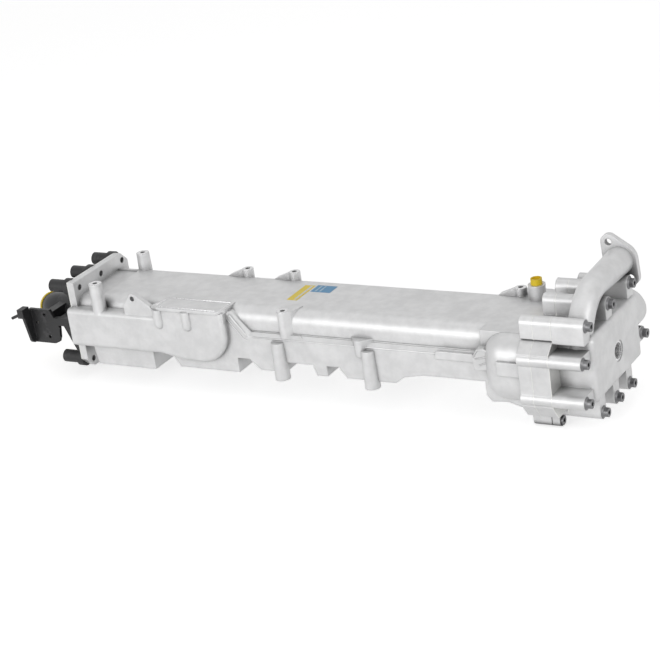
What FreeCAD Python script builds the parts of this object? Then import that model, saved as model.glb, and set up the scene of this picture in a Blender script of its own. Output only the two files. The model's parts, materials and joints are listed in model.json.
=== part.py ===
import FreeCAD, Part
import math
import os
import Sketcher

# Long engine cooler for recirculated exhaust gas, in millimetres.
# Bench frame: X runs from the outlet joint (X = 0) to the inlet cover, Y points to the back,
# Z is up, and Y = Z = 0 is the middle of the square outlet flange.
# Every piece is then placed so that the mouth of the threaded port in the cover is the origin.

doc = FreeCAD.newDocument("GasCooler")
sheet = doc.addObject("Spreadsheet::Sheet", "Sizes")
V = FreeCAD.Vector


# Driving dimensions

class Size:
    """A length with its value in millimetres and the sheet expression that gives it."""

    def __init__(self, value, text):
        self.value = value
        self.text = text

    def __add__(self, other):
        other = as_size(other)
        return Size(self.value + other.value, f"({self.text} + {other.text})")

    def __radd__(self, other):
        return as_size(other) + self

    def __sub__(self, other):
        other = as_size(other)
        return Size(self.value - other.value, f"({self.text} - {other.text})")

    def __rsub__(self, other):
        return as_size(other) - self

    def __mul__(self, factor):
        return Size(self.value * factor, f"({self.text} * {factor:.9f})")

    __rmul__ = __mul__

    def __truediv__(self, divisor):
        return Size(self.value / divisor, f"({self.text} / {divisor})")

    def __neg__(self):
        return Size(-self.value, f"(0 mm - {self.text})")


def as_size(number):
    """A plain number becomes a Size of so many millimetres."""
    if isinstance(number, Size):
        return number
    return Size(float(number), f"{number:.9f} mm" if number >= 0 else f"(0 mm - {-number:.9f} mm)")


DIMENSIONS = {
    # overall length, joint to joint, and the body section
    "housing_length": 720.0,
    "core_half_width": 59.0,
    "core_top": 45.0,
    "core_bottom": 25.0,
    "wall": 8.0,
    "top_round": 18.0,
    "plate_start": 46.0,
    "valley_drop": 2.0,
    # outlet flange of the housing and its screws
    "outlet_flange_thickness": 10.0,
    "outlet_flange_half": 65.0,
    "outlet_corner_cut": 14.0,
    "outlet_screw_y": 52.0,
    "outlet_screw_z": 54.0,
    "outlet_gasket_thickness": 1.5,
    "screw_radius": 4.0,
    "tapped_radius": 4.2,
    # front wall: lower apron with its ledge, and the side channel
    "apron_depth": 8.0,
    "ledge_height": 13.0,
    "ledge_bevel": 5.0,
    "apron_corner_low": 292.0,
    "apron_corner_high": 265.0,
    "channel_face": 78.0,
    "channel_end": 260.0,
    "channel_round": 44.0,
    "channel_step": 150.0,
    "channel_low": 32.0,
    "channel_top": 30.0,
    "channel_edge": 6.0,
    "pad_start": 144.0,
    "pad_front": 80.0,
    "pad_back": 42.0,
    "pad_thickness": 4.0,
    "pad_rise": 0.6,
    "pad_boss_radius": 7.5,
    "pad_boss_depth": 28.0,
    "pad_boss_first": 155.0,
    "pad_boss_pitch": 46.0,
    # skirts below the shell: first and last X and how far down
    "skirt_wall": 6.0,
    "skirt1_start": 31.0,
    "skirt1_end": 128.0,
    "skirt1_low": 54.0,
    "skirt2_start": 171.0,
    "skirt2_end": 267.0,
    "skirt2_low": 46.0,
    "skirt3_start": 302.0,
    "skirt3_end": 341.0,
    "skirt3_low": 39.5,
    "skirt4_start": 389.0,
    "skirt4_end": 405.5,
    "skirt5_start": 435.0,
    "skirt5_end": 507.0,
    "skirt5_tail": 42.0,
    # round posts
    "post_radius": 8.0,
    "post_hole_radius": 3.4,
    "post_hole_depth": 24.0,
    "end_post_x": 51.0,
    "end_post_top": 69.0,
    "end_post_front": 68.0,
    "end_post_back": 50.0,
    "end_post_radius": 9.2,
    "mid_post_x": 345.0,
    "mid_post_top": 46.0,
    "column_radius": 10.7,
    "column_draft": 1.4,
    "column_axis": 67.0,
    "column_low": 48.5,
    "mid_column_x": 335.0,
    "side_post_x": 460.0,
    "side_post_top": 17.5,
    "side_column_x": 471.5,
    "back_post_y": 50.0,
    "back_post_top": 55.5,
    "back_post1_x": 226.0,
    "back_post2_x": 301.5,
    "back_post3_inset": 79.5,
    "back_ramp": 30.0,
    # lifting ear
    "ear_x": 115.0,
    "ear_z": 53.0,
    "ear_radius": 7.5,
    "ear_hole_radius": 3.5,
    "ear_front": 75.0,
    "ear_thickness": 8.0,
    # wide chamber and flange at the inlet end
    "chamber_length": 84.5,
    "chamber_back": 75.0,
    "chamber_low": 52.0,
    "chamber_round": 7.0,
    "bulge_inset": 5.0,
    "bulge_front": 92.0,
    "bulge_low": 45.0,
    "bulge_round": 30.0,
    "bulge_pad_front": 97.0,
    "hollow_inset": 28.0,
    "hollow_front": 70.0,
    "hollow_half_height": 39.0,
    # small bosses on the ledge
    "ledge_pad_start": 572.0,
    "ledge_pad_end": 624.0,
    "ledge_pad_rise": 3.0,
    "knuckle_front": 80.0,
    "inlet_flange_thickness": 17.0,
    "spacer_thickness": 23.0,
    "inlet_gasket_thickness": 1.0,
    "box_front": 79.0,
    "box_back": 68.0,
    "box_top": 50.0,
    "box_low": 35.0,
    "box_wall": 8.0,
    "box_edge": 7.0,
    "cover_depth": 47.0,
    "cover_foot": 10.0,
    "pillar_length": 42.0,
    "lug_radius": 9.0,
    "top_bolt_z": 68.5,
    "top_bolt1_y": -83.0,
    "top_bolt2_y": -12.0,
    "top_bolt3_y": 57.0,
    "front_bolt_y": -101.0,
    "front_bolt1_z": 27.0,
    "front_bolt2_z": -24.5,
    "low_bolt_z": -57.0,
    "low_bolt1_y": -55.4,
    "low_bolt2_y": -11.0,
    "low_bolt3_y": 32.0,
    "back_bolt_y": 84.0,
    "back_bolt_z": -11.0,
    "blind_lug_y": 29.5,
    "blind_lug_z": 70.5,
    "blind_lug_radius": 10.0,
    "low_lug_y": -56.0,
    "low_lug_z": -73.5,
    "low_lug_radius": 8.0,
    "low_lug_length": 25.0,
    "low_lug_foot": 10.0,
    "low_recess_depth": 5.0,
    "back_lug_z": 20.0,
    "back_lug_radius": 26.0,
    "back_lug_y": 93.0,
    "bolt_head_radius": 6.0,
    "bolt_head_height": 7.5,
    "bolt_washer_radius": 8.4,
    "bolt_washer_height": 2.0,
    "bolt_socket_radius": 3.2,
    "bolt_socket_depth": 4.5,
    "bolt_grip": 16.0,
    "recess_radius": 7.0,
    "recess_depth": 8.0,
    "clearance": 0.3,
    # inlet pipe cast on the cover, with its two-hole flange
    "pipe_radius": 16.0,
    "pipe_end_radius": 18.5,
    "pipe_bore": 13.5,
    "pipe_inset": 24.5,
    "pipe_bend": 60.0,
    "pipe_bend_y": -5.0,
    "pipe_height": 91.0,
    "pipe_flange_face": 82.0,
    "pipe_flange_thickness": 8.0,
    "pipe_flange_radius": 22.5,
    "pipe_ear_radius": 10.5,
    "pipe_bolt_circle": 53.5,
    "pipe_bolt_radius": 4.5,
    # threaded port in the cover
    "port_y": -4.7,
    "port_z": 3.2,
    "port_radius": 10.2,
    "port_depth": 16.0,
    "port_boss_radius": 18.0,
    "port_seat_radius": 13.5,
    "port_seat_depth": 1.2,
    # coolant stub with its plug
    "stub_inset": 53.0,
    "stub_y": 43.0,
    "stub_top": 64.5,
    "stub_radius": 10.5,
    "stub_bore": 6.5,
    "plug_head_radius": 7.5,
    "plug_head_height": 8.0,
    # black outlet casting
    "outlet_boss_reach": 38.0,
    "outlet_boss_radius": 9.0,
    "outlet_plate_thickness": 10.0,
    "neck_radius": 20.0,
    "neck_bore": 16.5,
    "neck_bend_start": 62.0,
    "neck_bend": 30.0,
    "neck_length": 12.0,
    "neck_y": -8.0,
    "neck_z": 1.5,
    "flare_radius": 50.0,
    "flare_waist": 24.0,
    "flare_length": 24.0,
    "cap_length": 10.0,
    "cap_wall": 1.5,
    "bracket_y": 64.0,
    "bracket_thickness": 5.0,
    "bracket_left": 80.0,
    "bracket_right": 33.0,
    "bracket_top": 20.0,
    "bracket_low": 31.0,
    "bracket_wing_top": 19.0,
    "bracket_wing_low": 9.0,
    "bracket_wing_wall": 4.0,
    "bracket_round": 8.0,
    "bracket_hole_radius": 2.6,
    "arm_height": 11.0,
    "clip_pin_radius": 2.2,
    "clip_pin_reach": 107.0,
    # heat exchanger core
    "tube_width": 44.0,
    "tube_height": 6.5,
    "tube_wall": 0.8,
    "tube_pitch_y": 48.0,
    "tube_pitch_z": 8.2,
    "header_thickness": 3.0,
    "outlet_header_thickness": 10.0,
    "outlet_header_inset": 4.0,
    "header_lip": 6.0,
    "seal_width": 4.0,
    "seal_depth": 2.5,
    "baffle_thickness": 2.0,
    # labels
    "label_thickness": 0.3,
    "yellow_label_x": 329.0,
    "yellow_label_length": 51.0,
    "yellow_label_width": 15.5,
    "yellow_label_y": -20.5,
    "blue_label_x": 347.5,
    "blue_label_y": 11.0,
    "blue_label_length": 30.0,
    "blue_label_width": 22.0,
}

TUBE_ROWS = 6
TUBE_COLUMNS = 2
BAFFLES = 4

SIZES = {}
for row, (alias, value) in enumerate(DIMENSIONS.items(), start=1):
    sheet.set(f"A{row}", alias.replace("_", " "))
    sheet.set(f"B{row}", str(value))
    sheet.setAlias(f"B{row}", alias)
    SIZES[alias] = Size(value, f"Sizes.{alias} * 1 mm")
doc.recompute()


def d(alias):
    """The driving dimension of that name."""
    return SIZES[alias]


# Places that several pieces share

inlet_joint = d("housing_length")
spacer_start = inlet_joint + d("inlet_gasket_thickness")
spacer_end = spacer_start + d("spacer_thickness")
cover_start = spacer_end + d("inlet_gasket_thickness")
cover_end = cover_start + d("cover_depth")
port_seat = cover_end - d("port_seat_depth")
pillar_end = cover_start + d("pillar_length")
shell_front = -d("core_half_width")
shell_back = d("core_half_width")
shell_low = -d("core_bottom")
apron_front = shell_front - d("apron_depth")
chamber_start = inlet_joint - d("chamber_length")
stub_x = inlet_joint - d("stub_inset")
back_post3_x = inlet_joint - d("back_post3_inset")
pipe_x = cover_start + d("pipe_inset")
low_seat = spacer_start + d("low_lug_foot") - d("low_recess_depth")
hollow_back = d("chamber_back") - d("wall") - 3
BACK_POSTS = [d("back_post1_x"), d("back_post2_x"), back_post3_x]
cavity_half = d("core_half_width") - d("wall")
cavity_top = d("core_top") - d("wall")
cavity_low = shell_low + d("wall")
bundle_middle = (cavity_top + cavity_low) / 2

OUTLET_SCREWS = [
    (-d("outlet_screw_y"), d("outlet_screw_z")),
    (as_size(0), d("outlet_screw_z")),
    (d("outlet_screw_y"), d("outlet_screw_z")),
    (-d("outlet_screw_y"), -d("outlet_screw_z")),
    (as_size(0), -d("outlet_screw_z")),
    (d("outlet_screw_y"), -d("outlet_screw_z")),
]

COVER_BOLTS = [
    (d("top_bolt1_y"), d("top_bolt_z"), "top"),
    (d("top_bolt2_y"), d("top_bolt_z"), "top"),
    (d("top_bolt3_y"), d("top_bolt_z"), "top"),
    (d("front_bolt_y"), d("front_bolt1_z"), "front"),
    (d("front_bolt_y"), d("front_bolt2_z"), "front"),
    (d("low_bolt1_y"), d("low_bolt_z"), "low"),
    (d("low_bolt2_y"), d("low_bolt_z"), "low"),
    (d("low_bolt3_y"), d("low_bolt_z"), "low"),
    (d("back_bolt_y"), d("back_bolt_z"), "back"),
]
LOW_BOLT = (d("low_lug_y"), d("low_lug_z"), "low")

# The third bolt ends in the spacer; all the others reach the housing
SHORT_BOLT = 2
LONG_BOLTS = [bolt for number, bolt in enumerate(COVER_BOLTS) if number != SHORT_BOLT]


# Modelling helpers

def bind(thing, path, size):
    """Tie one property of a document object to the sheet."""
    size = as_size(size)
    thing.setExpression(path, size.text)


def seat(thing):
    """Place a finished piece so that the mouth of the cover's port is the origin."""
    bind(thing, "Placement.Base.x", -port_seat)
    bind(thing, "Placement.Base.y", -d("port_y"))
    bind(thing, "Placement.Base.z", -d("port_z"))


def joined(name, solids):
    """One solid fused from several; a lone solid stays as it is."""
    if len(solids) == 1:
        return solids[0]
    fuse = doc.addObject("Part::MultiFuse", name)
    fuse.Shapes = solids
    fuse.Refine = True
    return fuse


class Piece:
    """
    One named piece in the making.
    Sketched and rounded forms go into its body. Plain solids are joined to the body or cut
    from it in the order they come, and those of one kind in a row make a single step.
    """

    def __init__(self, label):
        self.label = label
        self.body = None
        self.result = None
        self.waiting = []
        self.cutting = False
        self.steps = 0

    def form(self):
        """The body for sketched features."""
        if self.body is None:
            self.body = doc.addObject("PartDesign::Body", f"{self.label}_form")
            self.queue(self.body, False)
        return self.body

    def extra(self, name, cut=False):
        """A further body, for a form that is sketched and rounded by itself."""
        body = doc.addObject("PartDesign::Body", f"{self.label}_{name}")
        self.queue(body, cut)
        return body

    def queue(self, solid, cut):
        """Line up a solid to be joined or cut away."""
        if cut != self.cutting:
            self.settle()
        self.cutting = cut
        self.waiting.append(solid)

    def settle(self):
        """Join or cut the solids in line."""
        if not self.waiting:
            return
        self.steps += 1
        name = f"{self.label}_step_{self.steps}"
        if self.cutting:
            cut = doc.addObject("Part::Cut", name)
            cut.Base = self.result
            cut.Tool = joined(f"{name}_tools", self.waiting)
            cut.Refine = True
            self.result = cut
        else:
            earlier = [self.result] if self.result else []
            self.result = joined(name, earlier + self.waiting)
        self.waiting = []

    def finish(self):
        """Close the piece, give it its name and place it."""
        self.settle()
        self.result.Label = self.label
        seat(self.result)
        return self.result


def add(piece, kind, name, cut):
    """A primitive solid: a feature of a body, or a plain solid of a piece."""
    if isinstance(piece, Piece):
        solid = doc.addObject(f"Part::{kind}", f"{piece.label}_{name}")
        piece.queue(solid, cut)
        return solid
    family = "Subtractive" if cut else "Additive"
    feature = piece.newObject(f"PartDesign::{family}{kind}", f"{piece.Label}_{name}")
    feature.Refine = False
    return feature


def put(feature, corner):
    """Bind the base point of a feature to three sizes."""
    for letter, size in zip("xyz", corner):
        bind(feature, f"Placement.Base.{letter}", size)


TURNS = {
    "X": FreeCAD.Rotation(V(0, 1, 0), 90),
    "Y": FreeCAD.Rotation(V(1, 0, 0), -90),
    "Z": FreeCAD.Rotation(),
}


def block(body, name, low, high, cut=False):
    """A box between two corners."""
    feature = add(body, "Box", name, cut)
    put(feature, low)
    for path, first, last in zip(("Length", "Width", "Height"), low, high):
        bind(feature, path, as_size(last) - first)
    return feature


def drum(body, name, base, axis, radius, length, cut=False):
    """A round bar from a base point along +X, +Y or +Z."""
    feature = add(body, "Cylinder", name, cut)
    feature.Placement = FreeCAD.Placement(V(), TURNS[axis])
    put(feature, base)
    bind(feature, "Radius", radius)
    bind(feature, "Height", length)
    return feature


def taper(body, name, base, axis, first_radius, last_radius, length, cut=False):
    """A cone frustum from a base point along +X, +Y or +Z."""
    feature = add(body, "Cone", name, cut)
    feature.Placement = FreeCAD.Placement(V(), TURNS[axis])
    put(feature, base)
    bind(feature, "Radius1", first_radius)
    bind(feature, "Radius2", last_radius)
    bind(feature, "Height", length)
    return feature


def ball(body, name, centre, radius, cut=False):
    """A full sphere."""
    feature = add(body, "Sphere", name, cut)
    put(feature, centre)
    bind(feature, "Radius", radius)
    return feature


def bent_bar(body, name, start, side, radius, bend, turn, cut=False):
    """
    A round bar bent through an angle in degrees, as a segment of a ring.
    It sets off at start along the first direction of side and bends towards the second.
    """
    ahead, inward = side
    feature = add(body, "Torus", name, cut)
    turned = FreeCAD.Rotation(-inward, ahead, (-inward).cross(ahead), "XYZ")
    feature.Placement = FreeCAD.Placement(V(), turned)
    put(feature, [as_size(at) + bend * part for at, part in zip(start, inward)])
    bind(feature, "Radius1", bend)
    bind(feature, "Radius2", radius)
    feature.Angle3 = turn
    return feature


def lean(feature, base, direction):
    """Turn a round bar or cone so that it sets off from base along a direction."""
    feature.Placement = FreeCAD.Placement(V(), FreeCAD.Rotation(V(0, 0, 1), direction))
    put(feature, base)
    return feature


def plane_of(body, role):
    """The origin plane of a body with that role."""
    return next(item for item in body.Origin.OriginFeatures if item.Role == role)


def outline(body, name, role, offset, corners):
    """A closed sketch of straight lines with every corner tied to the sheet."""
    sketch = body.newObject("Sketcher::SketchObject", f"{body.Label}_{name}_outline")
    sketch.AttachmentSupport = [(plane_of(body, role), "")]
    sketch.MapMode = "FlatFace"
    bind(sketch, "AttachmentOffset.Base.z", offset)
    corners = [(as_size(across), as_size(up)) for across, up in corners]
    count = len(corners)
    for index, (across, up) in enumerate(corners):
        after = corners[(index + 1) % count]
        start = V(across.value, up.value, 0)
        sketch.addGeometry(Part.LineSegment(start, V(after[0].value, after[1].value, 0)))
    for index in range(count):
        sketch.addConstraint(Sketcher.Constraint("Coincident", index, 2, (index + 1) % count, 1))
    for index, corner in enumerate(corners):
        for direction, size in zip(("DistanceX", "DistanceY"), corner):
            rule = Sketcher.Constraint(direction, -1, 1, index, 1, size.value)
            number = sketch.addConstraint(rule)
            if "Sizes." in size.text:
                sketch.setExpression(f"Constraints[{number}]", size.text)
    return sketch


def slab(piece, name, role, start, corners, depth, cut=False):
    """
    A straight-sided outline given a depth.
    On the YZ plane it starts at X = start and grows to +X, on the XY plane at Z = start and
    grows to +Z, and on the XZ plane at Y = start and grows to -Y.
    """
    body = piece.form() if isinstance(piece, Piece) else piece
    offset = -as_size(start) if role == "XZ_Plane" else start
    sketch = outline(body, name, role, offset, corners)
    kind = "PartDesign::Pocket" if cut else "PartDesign::Pad"
    feature = body.newObject(kind, f"{body.Label}_{name}")
    feature.Refine = False
    feature.Profile = sketch
    feature.Reversed = cut
    bind(feature, "Length", depth)
    sketch.Visibility = False
    return feature


def edges_where(body, test):
    """Names of the edges of the body's present shape whose end points and middle pass a test."""
    body.Tip.Refine = True
    doc.recompute()
    names = []
    for number, edge in enumerate(body.Tip.Shape.Edges, start=1):
        middle = edge.valueAt((edge.FirstParameter + edge.LastParameter) / 2)
        ends = [vertex.Point for vertex in edge.Vertexes]
        if test(middle, ends):
            names.append(f"Edge{number}")
    return names


def soften(piece, name, radius, test, kind="Fillet"):
    """Round or bevel the edges that pass the test."""
    body = piece.form() if isinstance(piece, Piece) else piece
    base = body.Tip
    names = edges_where(body, test)
    feature = body.newObject(f"PartDesign::{kind}", f"{body.Label}_{name}")
    feature.Base = (base, names)
    feature.Refine = False
    bind(feature, "Radius" if kind == "Fillet" else "Size", radius)
    return feature


def near(value, size, tolerance=0.05):
    """True where a coordinate lies at a size."""
    return abs(value - as_size(size).value) < tolerance


def lug(body, name, start, length, bolt, radius, body_edge):
    """
    A round lug about a bolt, joined to the body by a straight neck.
    It starts at X = start, and body_edge is the Y or Z that the neck reaches.
    """
    bolt_y, bolt_z, side = bolt
    drum(body, f"{name}_eye", (start, bolt_y, bolt_z), "X", radius, length)
    end = start + length
    if side == "top":
        block(body, f"{name}_neck", (start, bolt_y - radius, body_edge), (end, bolt_y + radius, bolt_z))
    elif side == "low":
        block(body, f"{name}_neck", (start, bolt_y - radius, bolt_z), (end, bolt_y + radius, body_edge))
    elif side == "front":
        block(body, f"{name}_neck", (start, bolt_y, bolt_z - radius), (end, body_edge, bolt_z + radius))
    else:
        block(body, f"{name}_neck", (start, body_edge, bolt_z - radius), (end, bolt_y, bolt_z + radius))


# Housing: the long casting with its channel, ledge, skirts, posts and end flanges

def housing_shell(body):
    """The long shell with rounded upper edges, and the two end flanges."""
    slab(body, "shell", "YZ_Plane", 0, [
        (shell_front, shell_low), (shell_back, shell_low),
        (shell_back, d("core_top")), (shell_front, d("core_top")),
    ], d("housing_length"))
    soften(body, "shell_rounds", d("top_round"), lambda middle, ends:
           near(middle.z, d("core_top")) and near(abs(middle.y), d("core_half_width")))
    half = d("outlet_flange_half")
    cut = d("outlet_corner_cut")
    slab(body, "outlet_flange", "YZ_Plane", 0, [
        (-half + cut, -half), (half - cut, -half), (half, -half + cut), (half, half - cut),
        (half - cut, half), (-half, half), (-half, -half + cut),
    ], d("outlet_flange_thickness"))


def housing_apron(body):
    """The lower front wall, which stands proud and climbs to the machined pad at the left."""
    thickness = d("apron_depth") + d("wall") / 2
    slab(body, "apron", "XZ_Plane", apron_front + thickness, [
        (0, shell_low), (chamber_start + 4, shell_low),
        (chamber_start + 4, d("ledge_height")), (d("apron_corner_low"), d("ledge_height")),
        (d("apron_corner_high"), d("core_top") - d("pad_thickness")),
        (d("pad_start"), d("core_top") - d("pad_thickness")),
        (d("pad_start"), d("channel_top")), (0, d("channel_top")),
    ], thickness)

    def on_ledge(middle, ends):
        return near(middle.y, apron_front) and (
            (near(middle.z, d("ledge_height")) and middle.x > d("apron_corner_low").value)
            or d("apron_corner_high").value < middle.x < d("apron_corner_low").value
            and middle.z > d("ledge_height").value)

    soften(body, "ledge_bevel", d("ledge_bevel"), on_ledge, "Chamfer")
    rise = d("ledge_pad_rise")
    slab(body, "ledge_pad", "XZ_Plane", apron_front + 1, [
        (d("ledge_pad_start") - rise, as_size(1)), (d("ledge_pad_end"), as_size(1)),
        (d("ledge_pad_end"), d("ledge_height") - 1), (d("ledge_pad_start"), d("ledge_height") - 1),
    ], rise + 1)


def housing_channel(body):
    """The side channel on the front left, with its half-round right end and machined pad."""
    face = -d("channel_face")
    top = d("core_top") - d("pad_thickness")
    slab(body, "channel", "XZ_Plane", apron_front + 1, [
        (0, shell_low), (d("channel_step"), shell_low),
        (d("channel_step") + 36, -d("channel_low")), (d("channel_end"), -d("channel_low")),
        (d("channel_end"), top), (d("pad_start"), top),
        (d("pad_start"), d("channel_top")), (0, d("channel_top")),
    ], apron_front + 1 - face)
    soften(body, "channel_end_round", d("channel_round"), lambda middle, ends:
           near(middle.x, d("channel_end")) and near(middle.z, -d("channel_low"))
           and middle.y < apron_front.value)
    soften(body, "channel_edges", d("channel_edge"), lambda middle, ends:
           near(middle.y, face) and middle.z < top.value - 1 and middle.x > 1)
    block(body, "pad_base", (d("pad_start") + 4, face + 2, d("channel_top") - 2),
          (d("channel_end"), -d("pad_back"), top + 1))
    slab(body, "pad", "XY_Plane", top, [
        (d("pad_start"), -d("pad_front") + 6), (d("pad_start") + 10, -d("pad_back")),
        (d("channel_end") + 1, -d("pad_back")), (d("channel_end") + 1, -d("pad_front") + 10),
        (d("channel_end") - 8, -d("pad_front")), (d("pad_start") + 12, -d("pad_front")),
    ], d("pad_thickness") + d("pad_rise"))
    for number in range(2):
        at = d("pad_boss_first") + d("pad_boss_pitch") * number
        low = top - d("pad_boss_depth")
        axis_y = face + 2
        drum(body, f"pad_boss_{number}", (at, axis_y, low + d("pad_boss_radius")), "Z",
             d("pad_boss_radius"), top - low - d("pad_boss_radius") + 0.5)
        ball(body, f"pad_boss_end_{number}", (at, axis_y, low + d("pad_boss_radius")), d("pad_boss_radius"))


# Each skirt: how far its left end slopes out, first and last X, how far its right end slopes out
# and its depth
SKIRTS = [
    (as_size(4), d("skirt1_start"), d("skirt1_end"), as_size(0), d("skirt1_low")),
    (as_size(11), d("skirt2_start"), d("skirt2_end"), as_size(0), d("skirt2_low")),
    (as_size(14), d("skirt3_start"), d("skirt3_end"), as_size(0), d("skirt3_low")),
    (as_size(4), d("skirt4_start"), d("skirt4_end"), as_size(0), d("skirt3_low")),
    (as_size(10), d("skirt5_start"), d("skirt5_end"), d("skirt5_tail"), d("skirt3_low")),
]


def housing_skirts(body):
    """Deep ribs across the underside, with arched gaps between them and pockets inside."""
    depth = shell_back - apron_front
    for number, (left_slope, first, last, right_slope, low) in enumerate(SKIRTS):
        slab(body.extra(f"skirt_{number}"), "rib", "XZ_Plane", shell_back, [
            (first - left_slope, shell_low + 3), (first - left_slope, shell_low - 2),
            (first, -low), (last, -low), (last + right_slope / 3, shell_low - 5),
            (last + right_slope, shell_low), (last + right_slope, shell_low + 3),
        ], depth)
    for number, (left_slope, first, last, right_slope, low) in enumerate(SKIRTS):
        if last.value - first.value < 4 * d("skirt_wall").value:
            continue
        block(body, f"skirt_pocket_{number}",
              (first + d("skirt_wall"), apron_front + d("skirt_wall"), -low - 1),
              (last - d("skirt_wall"), shell_back - d("skirt_wall"), shell_low), cut=True)


def housing_posts(body):
    """Round bosses and columns: two end posts, the mid and side posts, and three back lugs."""
    radius = d("post_radius")
    for name, y, low in (("front", -d("end_post_front"), d("channel_top") - 8),
                         ("back", d("end_post_back"), d("core_top") - 12)):
        taper(body, f"end_post_{name}", (d("end_post_x"), y, low), "Z",
              d("end_post_radius") + 1, d("end_post_radius"), d("end_post_top") - low)
    drum(body, "mid_post", (d("mid_post_x"), shell_front, d("ledge_height") - 6), "Z",
         radius, d("mid_post_top") - d("ledge_height") + 6)
    slab(body, "mid_post_web", "XY_Plane", d("ledge_height") - 6, [
        (d("mid_post_x") - radius, shell_front), (d("mid_post_x") - radius, shell_front + 20),
        (d("mid_post_x") + 20, shell_front + 20), (d("mid_post_x") + 12, shell_front),
        (d("mid_post_x") + 5, shell_front - 6),
    ], d("mid_post_top") - d("ledge_height") + 6)
    for name, x in (("mid", d("mid_column_x")), ("side", d("side_column_x"))):
        top = d("ledge_height") - 9
        low = -d("column_low")
        taper(body, f"{name}_column", (x, -d("column_axis"), low), "Z",
              d("column_radius"), d("column_radius") - d("column_draft"), top - low)
    side_low = as_size(-5)
    drum(body, "side_post", (d("side_post_x"), apron_front + 2, side_low), "Z",
         radius, d("side_post_top") - side_low)
    slab(body, "side_post_web", "XY_Plane", d("ledge_height") - 8, [
        (d("side_post_x") - 16, shell_front + 1), (d("side_post_x") + 18, shell_front + 1),
        (d("side_post_x") + 6, apron_front - 3), (d("side_post_x") - 6, apron_front - 3),
    ], d("side_post_top") - d("ledge_height") + 8)
    for number, x in enumerate(BACK_POSTS):
        low = d("core_top") - 20
        drum(body, f"back_post_{number}", (x, d("back_post_y"), low), "Z",
             radius, d("back_post_top") - low)
        slab(body, f"back_ramp_{number}", "XZ_Plane", d("back_post_y") + radius * 0.75, [
            (x - d("back_ramp"), d("core_top") - 12), (x, d("core_top") - 12),
            (x, d("back_post_top")), (x - radius * 0.5, d("back_post_top")),
            (x - d("back_ramp"), d("core_top")),
        ], radius * 1.5)


def housing_chamber(body):
    """The wide inlet chamber: a back part with a stepped floor, and a full round bulge in front."""
    start = chamber_start
    end = inlet_joint - 2
    low = -d("chamber_low")
    slab(body, "chamber", "XZ_Plane", d("chamber_back"), [
        (start, low + 8), (start + 7, low), (start + 29, low + 1.5), (start + 45, low - 3),
        (start + 60, low - 6), (end, low - 6), (end, d("core_top")), (start, d("core_top")),
    ], d("chamber_back") - apron_front)
    soften(body, "chamber_round", d("chamber_round"), lambda middle, ends:
           near(middle.x, start) and near(middle.y, d("chamber_back")))
    left = start + d("bulge_inset")
    front = -d("bulge_front")
    bulge = body.extra("bulge")
    block(bulge, "bulge", (left, front, -d("bulge_low")), (end, shell_front + 2, d("core_top")))

    def on_outside(middle, ends):
        faces = [near(middle.x, left), near(middle.y, front),
                 near(middle.z, d("core_top")) or near(middle.z, -d("bulge_low"))]
        return sum(faces) == 2

    soften(bulge, "bulge_round", d("bulge_round"), on_outside)


def housing_knuckle(body):
    """The six-sided boss where the ledge meets the chamber, and the small block on the bulge."""
    start = chamber_start
    slab(body, "knuckle", "XZ_Plane", apron_front + 2, [
        (start - 8, as_size(13)), (start, as_size(25)), (start + 9, as_size(26)),
        (start + 32, as_size(16)), (start + 32, as_size(2)), (start + 5, as_size(-4)),
        (start - 6, as_size(-4)),
    ], apron_front + 2 + d("knuckle_front"))
    block(body, "bulge_pad", (start + 33, -d("bulge_pad_front"), -1), (start + 67, -d("bulge_front") + 12, 17.5))


def flange(body, name, start, length, bolts):
    """The outline shared by the housing's inlet flange and the spacer: a plate with a lug per bolt."""
    radius = d("lug_radius")
    front = d("front_bolt_y") - radius + 3
    back = d("back_bolt_y") + radius - 3
    top = d("box_top") + 2
    low = -d("chamber_low")
    slab(body, f"{name}_plate", "YZ_Plane", start, [
        (front + 14, low), (back - 14, low), (back, low + 14), (back, top - 14),
        (back - 14, top), (front + 22, top), (front, d("front_bolt1_z") + radius),
        (front, d("front_bolt2_z") - radius),
    ], length)
    edges = {"top": top - 2, "low": low + 2, "front": front + 12, "back": back - 12}
    for number, bolt in enumerate(bolts):
        lug(body, f"{name}_lug_{number}", start, length, bolt, radius, edges[bolt[2]])
    blind = (d("blind_lug_y"), d("blind_lug_z"), "top")
    lug(body, f"{name}_blind_lug", start, length, blind, d("blind_lug_radius"), edges["top"])


def low_lug(body, start, length):
    """The long lug below the flange, for the screw that holds the spacer to the housing."""
    lug(body, "low_lug", start, length, LOW_BOLT, d("low_lug_radius"), -d("chamber_low") + 2)


def housing_ports(body):
    """The coolant stub, the lifting ear and every drilled hole."""
    stub_low = d("core_top") - 3
    taper(body, "stub", (stub_x, d("stub_y"), stub_low), "Z",
          d("stub_radius"), d("stub_radius") + 1, d("stub_top") - stub_low)
    ear_back = -d("ear_front") + d("ear_thickness")
    slab(body, "ear", "XZ_Plane", ear_back, [
        (d("ear_x") - 17, d("channel_top") - 6), (d("ear_x") + 30, d("channel_top") - 6),
        (d("ear_x") + 30, d("core_top") - 4), (d("ear_x") + 5, d("ear_z") + 5.6),
        (d("ear_x") - 5, d("ear_z") + 5.6), (d("ear_x") - 17, d("core_top") - 4),
    ], d("ear_thickness"))
    drum(body, "ear_eye", (d("ear_x"), -d("ear_front"), d("ear_z")), "Y", d("ear_radius"), d("ear_thickness"))
    drum(body, "ear_hole", (d("ear_x"), -d("ear_front") - 1, d("ear_z")), "Y",
         d("ear_hole_radius"), d("ear_thickness") + 2, cut=True)


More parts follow.
